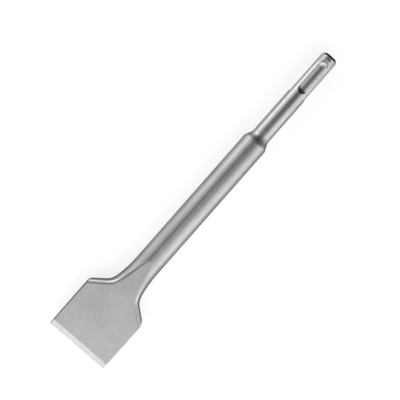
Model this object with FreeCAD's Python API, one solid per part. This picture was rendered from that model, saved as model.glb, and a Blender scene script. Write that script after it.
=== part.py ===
# A wide flat chisel for a hammer drill, forged, turned and ground from one bar of tool steel.
# It lies on its round body with the blade level. +X runs from the cutting edge to the shank end,
# +Z is up, and the origin is on the resting surface under the middle of the length. Millimetres.
import FreeCAD, Part
import math
import os

from FreeCAD import Vector

# Whole tool
overall_length = 200.0
body_diameter = 14.0
shank_diameter = 10.0

# Blade, with its stations measured from the cutting edge
blade_width = 36.5
flat_length = 58.6            # the two sloping faces run out on the round body here
blade_end_thickness = 2.5     # of the forged wedge, before its end is ground
bevel_length = 3.0            # ground bevel, along the axis
edge_land = 0.3               # left flat along the cutting edge
long_edge_break = 0.3         # chamfer along the four long edges of the blade
rim_radius = 2.2              # blends the sloping faces into the rounded sides of the forging

# Flare from the round body out to the blade: its outline seen from above
flare_ease_radius = 60.0      # long gentle curve off the body
flare_ease_angle = 13.0       # degrees turned by that curve
flare_bend_radius = 9.0       # tighter bend after it
flare_angle = 52.0            # degrees between the straight slope and the axis
flare_depth_gain = 0.3        # half depth gained per half width gained, which keeps the sides steep
corner_station = 31.3         # from the cutting edge: the slope meets the blade's straight side here
corner_setback = 2.0          # the corner is ground round from this far off on both sides
corner_radius = 5.5
flare_section_pitch = 2.0     # greatest distance between two sections of the loft

# Neck and shoulder, with stations measured from the shank end
shoulder_station = 59.7       # the shoulder's cone reaches the body's diameter here
shoulder_angle = 26.0         # degrees between the cone and the axis
shoulder_root_radius = 6.0
shoulder_edge_radius = 0.6
shank_chamfer = 1.3

# Closed locking grooves, one above and one below
groove_start = 4.2            # from the shank end
groove_length = 21.1
groove_radius = 3.5
groove_depth = 2.06

# Open drive slots, one on each side, cut by a disc
slot_width = 4.4
slot_depth = 2.1
slot_flat_length = 16.2       # from the shank end, before the disc runs out
slot_disc_radius = 30.0

# Lengths worked out from the sizes above
body_radius = body_diameter / 2
shank_radius = shank_diameter / 2
blade_half_width = blade_width / 2
edge_x = -overall_length / 2
shank_end_x = overall_length / 2
axis_z = body_radius
axis_direction = Vector(1, 0, 0)
corner_overrun = 1.5                    # the corner's cutter reaches this much past where its arc ends


def on_axis(x):
    """The point of the tool's axis at x."""
    return Vector(x, 0, axis_z)


def profile_point(from_shank_end, radius):
    """A point of the turned profile, in the upright plane through the axis."""
    return Vector(shank_end_x - from_shank_end, 0, axis_z + radius)


def rounded_path(corners):
    """Edges through (point, radius) corners, with a tangent arc at each corner that has a radius."""
    edges = []
    start = corners[0][0]
    for (before, _), (corner, radius), (after, _) in zip(corners, corners[1:], corners[2:]):
        end = next_start = corner
        if radius:
            back = (before - corner).normalize()
            onward = (after - corner).normalize()
            half_angle = back.getAngle(onward) / 2
            setback = radius / math.tan(half_angle)
            end = corner + back * setback
            next_start = corner + onward * setback
            middle = corner + (back + onward).normalize() * (radius / math.sin(half_angle) - radius)
        edges.append(Part.LineSegment(start, end).toShape())
        if radius:
            edges.append(Part.Arc(end, middle, next_start).toShape())
        start = next_start
    edges.append(Part.LineSegment(start, corners[-1][0]).toShape())
    return edges


def turned_bar(bar_end_x):
    """Shank, neck, shoulder and round body, turned about the axis down to bar_end_x."""
    cone_run = (body_radius - shank_radius) / math.tan(math.radians(shoulder_angle))
    outline = rounded_path([
        (on_axis(shank_end_x), 0),
        (profile_point(0, shank_radius - shank_chamfer), 0),
        (profile_point(shank_chamfer, shank_radius), 0),
        (profile_point(shoulder_station - cone_run, shank_radius), shoulder_root_radius),
        (profile_point(shoulder_station, body_radius), shoulder_edge_radius),
        (Vector(bar_end_x, 0, axis_z + body_radius), 0),
        (on_axis(bar_end_x), 0),
    ])
    centre_line = Part.LineSegment(on_axis(bar_end_x), on_axis(shank_end_x)).toShape()
    profile = Part.Face(Part.Wire(outline + [centre_line]))
    return profile.revolve(on_axis(0), axis_direction, 360)


# Half the blade's thickness: what it gains per millimetre, and its value at two stations
wedge_slope = (body_radius - blade_end_thickness / 2) / flat_length
bevel_half_thickness = blade_end_thickness / 2 + bevel_length * wedge_slope
bevel_slope = (bevel_half_thickness - edge_land / 2) / bevel_length
corner_half_thickness = blade_end_thickness / 2 + corner_station * wedge_slope

# Outline of the flare, from the body outwards: the gentle curve, the bend, then the slope
ease_turn = math.radians(flare_ease_angle)
full_turn = math.radians(flare_angle)
slope = math.tan(full_turn)
ease_run = flare_ease_radius * math.sin(ease_turn)
ease_rise = flare_ease_radius * (1 - math.cos(ease_turn))
bend_run = flare_bend_radius * (math.sin(full_turn) - math.sin(ease_turn))
bend_rise = flare_bend_radius * (math.cos(ease_turn) - math.cos(full_turn))
bend_station = corner_station + (blade_half_width - body_radius - ease_rise - bend_rise) / slope
ease_station = bend_station + bend_run
flare_station = ease_station + ease_run


def flare_half_depth(half_width):
    """Half the depth of the forging where it is this wide, before the sloping faces trim it."""
    return body_radius + flare_depth_gain * (half_width - body_radius)


# The slope is forged on past the corner, until its rounded side lies well outside the blade
forged_reach = (corner_half_thickness + body_radius) / 2
forged_half_width = blade_half_width / math.sqrt(1 - (forged_reach / flare_half_depth(blade_half_width)) ** 2)
forged_station = corner_station - (forged_half_width - blade_half_width) / slope


def flare_half_width(station):
    """Half the width of the forging at this distance from the cutting edge."""
    if station >= ease_station:
        height = math.sqrt(flare_ease_radius ** 2 - (flare_station - station) ** 2)
        return body_radius + max(flare_ease_radius - height, 0)
    if station >= bend_station:
        sine = math.sin(ease_turn) + (ease_station - station) / flare_bend_radius
        gain = math.cos(ease_turn) - math.sqrt(1 - sine ** 2)
        return body_radius + ease_rise + flare_bend_radius * gain
    return blade_half_width + (corner_station - station) * slope


def flare_section(station):
    """A section of the forging: an ellipse, round at the body, and wider and deeper further out."""
    centre = on_axis(edge_x + station)
    half_width = flare_half_width(station)
    side = centre + Vector(0, half_width, 0)
    top = centre + Vector(0, 0, flare_half_depth(half_width))
    ellipse = Part.Ellipse(side, top, centre)
    quarter = math.pi / 2
    left = Part.ArcOfEllipse(ellipse, -quarter, quarter)
    right = Part.ArcOfEllipse(ellipse, quarter, 3 * quarter)
    return Part.Wire([left.toShape(), right.toShape()])


def flare():
    """The round body drawn out sideways towards the blade, lofted through its sections."""
    length = flare_station - forged_station
    steps = math.ceil(length / flare_section_pitch)
    sections = [flare_section(flare_station - length * i / steps) for i in range(steps + 1)]
    return Part.makeLoft(sections, True, False)


def blade_stock():
    """A slab below the flare, larger all round than the blade that is trimmed from it."""
    corner = Vector(edge_x, -blade_width, axis_z - body_diameter)
    return Part.makeBox(forged_station, 2 * blade_width, 2 * body_diameter, corner)


def corner_cutter():
    """What is ground off the left corner, where the slope meets the blade's straight side."""
    corner = Vector(edge_x + corner_station, blade_half_width, 0)
    bisector = (math.pi - full_turn) / 2
    outwards = Vector(math.cos(bisector), math.sin(bisector), 0)
    sideways = Vector(-outwards.y, outwards.x, 0)
    half_chord = corner_setback * math.sin(bisector)
    half_angle = math.asin(half_chord / corner_radius)
    to_centre = corner_setback * math.cos(bisector) + corner_radius * math.cos(half_angle)
    centre = corner - outwards * to_centre

    def on_arc(angle):
        return centre + (outwards * math.cos(angle) + sideways * math.sin(angle)) * corner_radius

    start = on_arc(-corner_overrun * half_angle)
    end = on_arc(corner_overrun * half_angle)
    clear = corner + outwards * corner_radius
    edges = [
        Part.Arc(start, on_arc(0), end).toShape(),
        Part.LineSegment(end, clear).toShape(),
        Part.LineSegment(clear, start).toShape(),
    ]
    return Part.Face(Part.Wire(edges)).extrude(Vector(0, 0, body_diameter))


def tapered_space(edge_thickness, slope, width):
    """The space between two planes that part evenly from the cutting edge to the shank end."""
    near = edge_thickness / 2
    far = near + overall_length * slope
    rim = [(edge_x, -near), (shank_end_x, -far), (shank_end_x, far), (edge_x, near)]
    points = [Vector(x, -width / 2, axis_z + height) for x, height in rim]
    return Part.Face(Part.makePolygon(points + points[:1])).extrude(Vector(0, width, 0))


def rim_edges(blade):
    """The curved edges where the two sloping faces meet the rounded sides."""
    sloping = [face for face in blade.Faces
               if isinstance(face.Surface, Part.Plane) and abs(face.Surface.Axis.z) > abs(face.Surface.Axis.x) > 0]
    return [edge for face in sloping for edge in face.Edges if not isinstance(edge.Curve, Part.Line)]


def forged_blank():
    """Bar, flare and blade, trimmed to the two sloping faces and the two straight sides."""
    stock = turned_bar(edge_x + flare_station).fuse([flare(), blade_stock()])
    space = tapered_space(blade_end_thickness, wedge_slope, blade_width)
    blade = stock.common(space).removeSplitter().Solids[0]
    blended = blade.makeFillet(rim_radius, rim_edges(blade))
    long_edges = [edge for edge in space.Edges if edge.BoundBox.XLength > overall_length / 2]
    return blended.common(space.makeChamfer(long_edge_break, long_edges))


def locking_groove():
    """The cutter of the upper closed groove: a round bar with a ball at each end."""
    centre_z = axis_z + shank_radius - groove_depth + groove_radius
    reach = math.sqrt(groove_radius ** 2 - (groove_radius - groove_depth) ** 2)
    first = Vector(shank_end_x - groove_start - reach, 0, centre_z)
    last = Vector(shank_end_x - groove_start - groove_length + reach, 0, centre_z)
    bar = Part.makeCylinder(groove_radius, first.x - last.x, last, axis_direction)
    return bar.fuse([Part.makeSphere(groove_radius, centre) for centre in (first, last)])


def drive_slot():
    """The path of the disc that cuts the left open slot, in from the shank end and then out."""
    floor_y = shank_radius - slot_depth
    bottom_z = axis_z - slot_width / 2
    flat_end_x = shank_end_x - slot_flat_length
    disc_centre = Vector(flat_end_x, floor_y + slot_disc_radius, bottom_z)
    disc = Part.makeCylinder(slot_disc_radius, slot_width, disc_centre)
    flat_start = Vector(flat_end_x, floor_y, bottom_z)
    flat = Part.makeBox(2 * slot_flat_length, slot_disc_radius, slot_width, flat_start)
    return disc.fuse(flat)


def chisel():
    """The finished tool, as one solid."""
    ground = forged_blank().common(tapered_space(edge_land, bevel_slope, 2 * blade_width))
    cutters = [cutter.rotated(on_axis(0), axis_direction, turn)
               for cutter in (locking_groove(), drive_slot(), corner_cutter()) for turn in (0, 180)]
    return ground.cut(cutters).removeSplitter().Solids[0]


os.makedirs("parts", exist_ok=True)
chisel().exportStep("parts/chisel.step")
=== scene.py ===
import math

import bpy
from mathutils import Matrix, Vector


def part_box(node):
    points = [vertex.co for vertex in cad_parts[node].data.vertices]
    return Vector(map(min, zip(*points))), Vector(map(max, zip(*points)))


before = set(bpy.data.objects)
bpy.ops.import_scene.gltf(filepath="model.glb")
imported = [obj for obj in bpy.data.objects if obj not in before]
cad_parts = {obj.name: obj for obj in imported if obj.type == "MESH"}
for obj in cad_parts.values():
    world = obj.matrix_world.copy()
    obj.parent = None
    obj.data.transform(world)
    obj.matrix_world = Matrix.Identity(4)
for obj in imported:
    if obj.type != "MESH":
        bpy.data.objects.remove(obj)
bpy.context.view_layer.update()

# The camera
# The chisel lies on its round body and a long lens looks down on it. The camera stands a little to the left
# of the tool, so that the blade's left edge just shows, and is turned until the shank points up and right.
MM = 0.001
view_centre = Vector((-0.7, 1.85, 7.0)) * MM
view_distance = 600 * MM
view_width = 208 * MM
view_tilt = math.radians(3.0)
shank_angle = math.radians(48.65)

bpy.ops.object.camera_add()
camera = bpy.context.object
camera.name = "camera"
camera.data.sensor_width = 36
camera.data.lens = camera.data.sensor_width * view_distance / view_width
camera.data.clip_start = 10 * MM
camera.matrix_world = (
    Matrix.Translation(view_centre)
    @ Matrix.Rotation(-view_tilt, 4, "X")
    @ Matrix.Rotation(-shank_angle, 4, "Z")
    @ Matrix.Translation((0, 0, view_distance))
)
bpy.context.scene.camera = camera


# The chisel
# One forging of tool steel. The shank and the shoulder are turned, the blade is hammered out flat and blasted
# with the body to a fine satin grain, and the bevel is ground bright at the end.
class Shade:
    """An output of a shader node. Arithmetic with it adds Math nodes to the same material."""

    def __init__(self, tree, socket=None):
        self.tree = tree
        self.socket = socket

    def node(self, kind, settings, sockets, output=0):
        """Adds a node with these settings, and values or links on its sockets, and gives one output."""
        added = self.tree.nodes.new(kind)
        for name, value in settings.items():
            setattr(added, name, value)
        for name, value in sockets.items():
            if isinstance(value, Shade):
                self.tree.links.new(value.socket, added.inputs[name])
            else:
                added.inputs[name].default_value = value
        return Shade(self.tree, added.outputs[output]) if added.outputs else None

    def part(self, axis):
        """The X, Y or Z of this vector."""
        return self.node("ShaderNodeSeparateXYZ", {}, {"Vector": self}, axis)

    def step(self, start, end):
        """Goes smoothly from 0 where this value is start to 1 where it is end."""
        sockets = {"Value": self, "From Min": start, "From Max": end}
        return self.node("ShaderNodeMapRange", {"interpolation_type": "SMOOTHSTEP"}, sockets)

    def band(self, start, full, fading, end):
        """Rises from 0 at start to 1 at full, and falls from 1 at fading to 0 at end."""
        return self.step(start, full) * self.step(end, fading)

    def math(self, operation, first, second=0.0):
        return self.node("ShaderNodeMath", {"operation": operation}, {0: first, 1: second})

    def root(self):
        return self.math("SQRT", self)

    def __abs__(self):
        return self.math("ABSOLUTE", self)

    def __add__(self, other):
        return self.math("ADD", self, other)

    def __radd__(self, other):
        return self.math("ADD", other, self)

    def __sub__(self, other):
        return self.math("SUBTRACT", self, other)

    def __rsub__(self, other):
        return self.math("SUBTRACT", other, self)

    def __mul__(self, other):
        return self.math("MULTIPLY", self, other)

    def __rmul__(self, other):
        return self.math("MULTIPLY", other, self)


def new_material(name):
    """An empty material, and the Shade that its first nodes are added with."""
    material = bpy.data.materials.new(name)
    material.use_nodes = True
    material.node_tree.nodes.clear()
    return material, Shade(material.node_tree)


# The tool's sizes, with the stations along it from the cutting edge to the shank's end
low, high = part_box("chisel")
axis_z = (low.z + high.z) / 2
shank_radius = 5.0 * MM
bevel_end = low.x + 3.0 * MM
slope_start = -55 * MM
flare_start = -30 * MM
shoulder_end = high.x - 60 * MM
groove_tail = high.x - 25.3 * MM
groove_head = high.x - 4.2 * MM
groove_end_run = 3.19 * MM
groove_half_width = 2.7 * MM
milled_depth = 0.4 * MM
chamfer_start = high.x - 1.3 * MM
broken_corner = high.y - 0.45 * MM
blend = 0.15 * MM

# How light and how smooth the steel is where each tool has worked it, with painted shade and highlights
blasted_grey, blasted_roughness = 0.40, 0.35
ground_grey, ground_roughness = 0.50, 0.29
turned_grey, turned_roughness = 0.43, 0.30
milled_grey, milled_roughness = 0.38, 0.38
# The steep sides' darker grey is painted shade; their roughness is the steel's own
side_shade_grey, side_roughness = 0.22, 0.50
# Painted highlight on the groove's outer end and on the top of the lip round it
highlight_grey = 0.55
# Painted highlight on the forged part's rim
rim_highlight_grey = 0.50
end_face_grey = 0.20
# Painted shade in the groove's inner end, towards the body
groove_tail_shade_grey = 0.11
# Painted shade along the broken corner on the blade's left
corner_shade_grey = 0.05
# Painted shade on the shank's end chamfer
chamfer_shade_grey = 0.03
# How much painted shade darkens the shoulder's cone and the foot of the lip round the groove's end
cone_shade_strength = 0.46
lip_foot_shade_strength = 0.4
glancing_tint = (0.1, 0.1, 0.1, 1.0)

# How far the grain and the mottling show, and how high each mark stands in the relief
grain_contrast = 0.36
mottled_contrast = 0.4
mottled_roughness = 0.08
relief_depth = 0.022 * MM
worn_grain_height = 0.2
ring_height = 0.35
face_ring_height = 0.5
grinding_height = 0.5
lip_rise = 9.0
lip_swell = 5.0

steel_material, steel = new_material("chisel_steel")
place = steel.node("ShaderNodeTexCoord", {}, {}, "Object")
normal = steel.node("ShaderNodeTexCoord", {}, {}, "Normal")
x = place.part("X")
y = place.part("Y")
z = place.part("Z") - axis_z
off_middle = abs(y)
off_axis = (y * y + z * z).root()
past_shoulder = x - shoulder_end
past_tail = x - groove_tail
past_head = x - groove_head
upright = abs(normal.part("Z"))
shankwards = normal.part("X")

# Where each way of working the steel shows: the ground bevel, the part that is forged wide with its steep sides,
# the shoulder's cone, the turned shank, its end and what is milled. Painted shade lies on the steep sides, on
# the broken corner on the forged part's left and on the cone, and a painted highlight on the forged part's rim
ground = x.step(bevel_end + blend, bevel_end - blend)
forged = x.step(flare_start, slope_start)
side = upright.step(0.60, 0.30) * forged
rim = shankwards.step(0.03, 0.15) * upright.step(0.50, 0.70) * forged
corner = y.step(broken_corner, broken_corner + 0.04 * MM) * (1 - side)
cone = past_shoulder.band(1.2 * MM, 1.8 * MM, 2.0 * MM, 4.8 * MM)
turned = past_shoulder.step(-0.5 * MM, 0.5 * MM)
chamfer = x.step(chamfer_start - blend, chamfer_start + blend)
end_face = x.step(high.x - 0.08 * MM, high.x - 0.04 * MM)
milled = turned * (1 - chamfer) * off_axis.step(shank_radius - blend, shank_radius - milled_depth)
grooved = milled * off_middle.step(groove_half_width + 0.2 * MM, groove_half_width)
# Painted shade in the groove's inner end
groove_tail_shade = grooved * past_tail.step(3.4 * MM, 1.6 * MM)
# Painted highlight on the groove's outer end
groove_head_highlight = grooved * past_head.step(-4.0 * MM, -2.0 * MM)

# The low lip that the cutter raised round the groove's outer end. The outline is 1 on that end's own edge, less
# inside the groove and more outside it.
end_x = (past_head + groove_end_run) * (1 / groove_end_run)
end_y = y * (1 / groove_half_width)
outline = (end_x * end_x + end_y * end_y).root()
near_end = past_head.step(-3.0 * MM, -1.2 * MM) * off_middle.step(3.8 * MM, 2.4 * MM)
lip = near_end * turned * (outline.step(1.02, 1.30) * lip_rise + outline.step(1.30, 2.2) * lip_swell)
# Painted shade at the lip's foot, just inside the groove's outer end
lip_foot = near_end * outline.band(0.84, 0.92, 1.0, 1.04)
# Painted highlight on the lip's top
lip_top_highlight = near_end * turned * outline.band(1.02, 1.06, 1.25, 1.45)

# The blasted grain, its mottling, the lathe's fine rings and the grinding marks square to the cutting edge
grain = steel.node("ShaderNodeTexNoise", {}, {"Vector": place, "Scale": 900.0, "Detail": 4.0, "Roughness": 0.7})
cloud = steel.node("ShaderNodeTexNoise", {}, {"Vector": place, "Scale": 80.0, "Detail": 6.0, "Roughness": 0.6})
along = steel.node("ShaderNodeMapping", {}, {"Vector": place, "Scale": (5200.0, 60.0, 60.0)})
rings = steel.node("ShaderNodeTexNoise", {}, {"Vector": along, "Scale": 1.0, "Detail": 2.0})
outwards = steel.node("ShaderNodeCombineXYZ", {}, {"X": off_axis * 4000.0})
face_rings = steel.node("ShaderNodeTexNoise", {}, {"Vector": outwards, "Scale": 1.0, "Detail": 2.0})
across = steel.node("ShaderNodeMapping", {}, {"Vector": place, "Scale": (220.0, 4200.0, 220.0)})
grinding = steel.node("ShaderNodeTexNoise", {}, {"Vector": across, "Scale": 1.0, "Detail": 3.0})

worn = steel.math("MAXIMUM", ground, turned)
relief = (
    grain * (1 - worn)
    + grain * worn * worn_grain_height
    + rings * (turned - end_face) * ring_height
    + face_rings * end_face * face_ring_height
    + grinding * ground * grinding_height
    + lip
)
bump = steel.node("ShaderNodeBump", {}, {"Strength": 1.0, "Distance": relief_depth, "Height": relief})

# The steel's own greys, with painted shade and painted highlights on the sides, rim, corner, lip, groove's ends
# and chamfer
plain_grey = (
    blasted_grey
    + ground * (ground_grey - blasted_grey)
    + side * (side_shade_grey - blasted_grey)
    + rim * (rim_highlight_grey - blasted_grey)
    + corner * (corner_shade_grey - blasted_grey)
    + turned * (turned_grey - blasted_grey)
    + lip_top_highlight * (highlight_grey - turned_grey)
    + milled * (milled_grey - turned_grey)
    + groove_tail_shade * (groove_tail_shade_grey - milled_grey)
    + groove_head_highlight * (highlight_grey - milled_grey)
    + chamfer * (chamfer_shade_grey - turned_grey)
    + end_face * (end_face_grey - chamfer_shade_grey)
)
# Painted shade on the shoulder's cone and at the foot of the lip round the groove's end
painted_shade = (1 - cone * cone_shade_strength) * (1 - lip_foot * lip_foot_shade_strength)
mottled = 1 + (cloud - 0.5) * mottled_contrast + (grain - 0.5) * grain_contrast
roughness = (
    blasted_roughness
    + ground * (ground_roughness - blasted_roughness)
    + side * (side_roughness - blasted_roughness)
    + turned * (turned_roughness - blasted_roughness)
    + milled * (milled_roughness - turned_roughness)
    + (cloud - 0.5) * mottled_roughness
)
surface = steel.node("ShaderNodeBsdfPrincipled", {}, {
    "Base Color": plain_grey * painted_shade * mottled,
    "Metallic": 1.0,
    "Roughness": roughness,
    "Specular Tint": glancing_tint,
    "Normal": bump,
})
steel.node("ShaderNodeOutputMaterial", {}, {"Surface": surface})
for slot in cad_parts["chisel"].material_slots:
    slot.material = steel_material

# The white floor and backdrop
# A wide round sheet of white paper that the chisel rests on, and a low wall of it all round. It glows a little,
# so that the camera and the bright steel see it as white, and it keeps the soft shadow under the tool.
paper_radius = 4.0
wall_height = 1.0
paper_sides = 96
paper_grey = 0.45
paper_glow = 0.62
camera_glow = 0.08

paper_material, paper = new_material("white_paper")
camera_ray = paper.node("ShaderNodeLightPath", {}, {}, "Is Camera Ray")
glossy_ray = paper.node("ShaderNodeLightPath", {}, {}, "Is Glossy Ray")
transmission_ray = paper.node("ShaderNodeLightPath", {}, {}, "Is Transmission Ray")
seen = paper.math("MAXIMUM", camera_ray, paper.math("MAXIMUM", glossy_ray, transmission_ray))
glow = paper.node("ShaderNodeEmission", {}, {"Strength": seen * paper_glow + camera_ray * camera_glow})
matt = paper.node("ShaderNodeBsdfDiffuse", {}, {"Color": (paper_grey, paper_grey, paper_grey, 1.0)})
sheet = paper.node("ShaderNodeAddShader", {}, {0: matt, 1: glow})
paper.node("ShaderNodeOutputMaterial", {}, {"Surface": sheet})

bpy.ops.object.select_all(action="DESELECT")
bpy.ops.mesh.primitive_circle_add(vertices=paper_sides, radius=paper_radius, fill_type="NGON")
floor = bpy.context.object
floor.name = "floor"
floor.data.materials.append(paper_material)

bpy.ops.mesh.primitive_cylinder_add(
    vertices=paper_sides, radius=paper_radius, depth=wall_height, end_fill_type="NOTHING",
    location=(0, 0, wall_height / 2),
)
backdrop = bpy.context.object
backdrop.name = "backdrop"
backdrop.data.materials.append(paper_material)

# The studio lamps
# Soft boxes stand on the left, on the right and at the blade's end, and only dim ones towards the shank, whose
# end stays dark. The brightest are low beside the body, and the dim top draws the dark stripe along it.
lamp_distance = 600 * MM
room_grey = 0.13


def soft_box(name, bearing, elevation, width, height, radiance):
    """A lamp aimed at the tool. Angles are in degrees, bearing 0 is where the shank points, sizes in metres."""
    around, up = math.radians(bearing), math.radians(elevation)
    towards = Vector((math.cos(up) * math.cos(around), math.cos(up) * math.sin(around), math.sin(up)))
    level = Vector((-math.sin(around), math.cos(around), 0))
    bpy.ops.object.light_add(type="AREA")
    lamp = bpy.context.object
    lamp.name = name
    lamp.data.shape = "RECTANGLE"
    lamp.data.size = width
    lamp.data.size_y = height
    lamp.data.energy = radiance * math.pi * width * height
    lamp.visible_camera = False
    turn = Matrix((level, towards.cross(level), towards)).transposed().to_4x4()
    lamp.matrix_world = Matrix.Translation(towards * lamp_distance) @ turn


soft_box("left_low", 67, 16, 0.46, 0.34, 1.95)
soft_box("left_back", 108, 16, 0.38, 0.34, 0.7)
soft_box("left_high", 76, 44, 0.50, 0.28, 0.84)
soft_box("tip_left", 146, 16, 0.42, 0.34, 1.2)
soft_box("tip_low", 188, 16, 0.46, 0.34, 1.25)
soft_box("tip_high", 190, 48, 0.50, 0.39, 1.25)
soft_box("right_back", 232, 16, 0.46, 0.34, 1.1)
soft_box("right_low", 268, 16, 0.42, 0.34, 1.5)
soft_box("right_high", 255, 48, 0.66, 0.39, 1.15)
soft_box("right_end", 300, 28, 0.24, 0.44, 0.50)
soft_box("top", 190, 80, 0.34, 0.34, 0.68)
soft_box("front_left", 38, 42, 0.24, 0.30, 0.35)
soft_box("front_right", 322, 34, 0.24, 0.32, 0.35)

room = bpy.data.worlds.new("room")
room.use_nodes = True
room.node_tree.nodes["Background"].inputs["Color"].default_value = (room_grey, room_grey, room_grey, 1.0)
bpy.context.scene.world = room
bpy.context.scene.view_settings.view_transform = "Standard"
